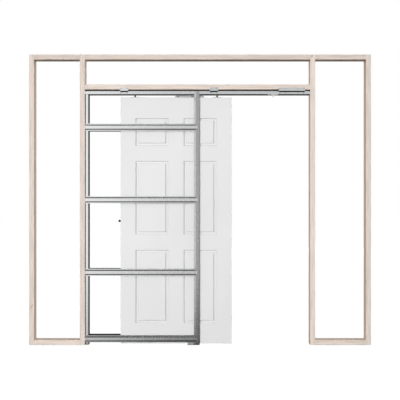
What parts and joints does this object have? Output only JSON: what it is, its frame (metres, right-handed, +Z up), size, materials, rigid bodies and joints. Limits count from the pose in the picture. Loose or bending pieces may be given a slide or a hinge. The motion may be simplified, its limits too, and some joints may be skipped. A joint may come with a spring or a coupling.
{
  "type": "pocket door frame",
  "caption": "Timber stud wall frame with a folded-steel pocket, an overhead track and a white panelled door that slides out of the pocket to close the doorway.",
  "frame": {"origin": "middle of the underside of the floor bracket at the mouth of the pocket, at floor level, on the wall's mid-plane", "axes": "+X along the wall from the pocket to the strike stud, +Y through the wall to the back, +Z up"},
  "size_m": [2.825, 0.093, 2.4],
  "materials": {
    "timber": "planed, unfinished",
    "galvanised_steel": "galvanised, roll-formed",
    "aluminium_track": "mill finish",
    "painted_door": "white satin primer on moulded skins",
    "zinc_hardware": "zinc plated",
    "pale_nylon": "moulded",
    "grey_plastic": "moulded",
    "black_rubber": "moulded"
  },
  "bodies": {
    "frame": {"back_bottom_rail": "galvanised_steel", "back_jamb_post": "galvanised_steel", "back_lower_rail": "galvanised_steel", "back_middle_rail": "galvanised_steel", "back_upper_rail": "galvanised_steel", "door_header": "timber", "end_post": "galvanised_steel", "end_post_foot": "galvanised_steel", "floor_guide": "pale_nylon", "front_bottom_rail": "galvanised_steel", "front_jamb_post": "galvanised_steel", "front_lower_rail": "galvanised_steel", "front_middle_rail": "galvanised_steel", "front_upper_rail": "galvanised_steel", "head_channel": "galvanised_steel", "jamb_floor_bracket": "galvanised_steel", "left_bottom_plate": "timber", "left_end_stud": "timber", "left_top_plate": "timber", "middle_top_plate": "timber", "mouth_header_bracket": "galvanised_steel", "pocket_header_bracket": "galvanised_steel", "pocket_stud": "timber", "pocket_track_stop": "black_rubber", "right_bottom_plate": "timber", "right_end_stud": "timber", "right_top_plate": "timber", "sliding_track": "aluminium_track", "soft_close_trigger": "pale_nylon", "strike_header_bracket": "galvanised_steel", "strike_stud": "timber", "strike_track_stop": "black_rubber"},
    "door": {"door_back_skin": "painted_door", "door_core": "painted_door", "door_front_skin": "painted_door", "leading_hanger_bolt": "zinc_hardware", "leading_hanger_plate": "zinc_hardware", "leading_trolley": "zinc_hardware", "leading_trolley_wheels": "pale_nylon", "rear_bumper": "black_rubber", "rear_hanger_bolt": "zinc_hardware", "rear_hanger_plate": "zinc_hardware", "rear_trolley": "zinc_hardware", "rear_trolley_wheels": "pale_nylon", "soft_close_unit": "grey_plastic"}
  },
  "joints": [
    {"name": "door_slide", "type": "slide", "parent": "frame", "child": "door", "axis": [1, 0, 0], "range_m": [-0.265, 0.642]}
  ]
}
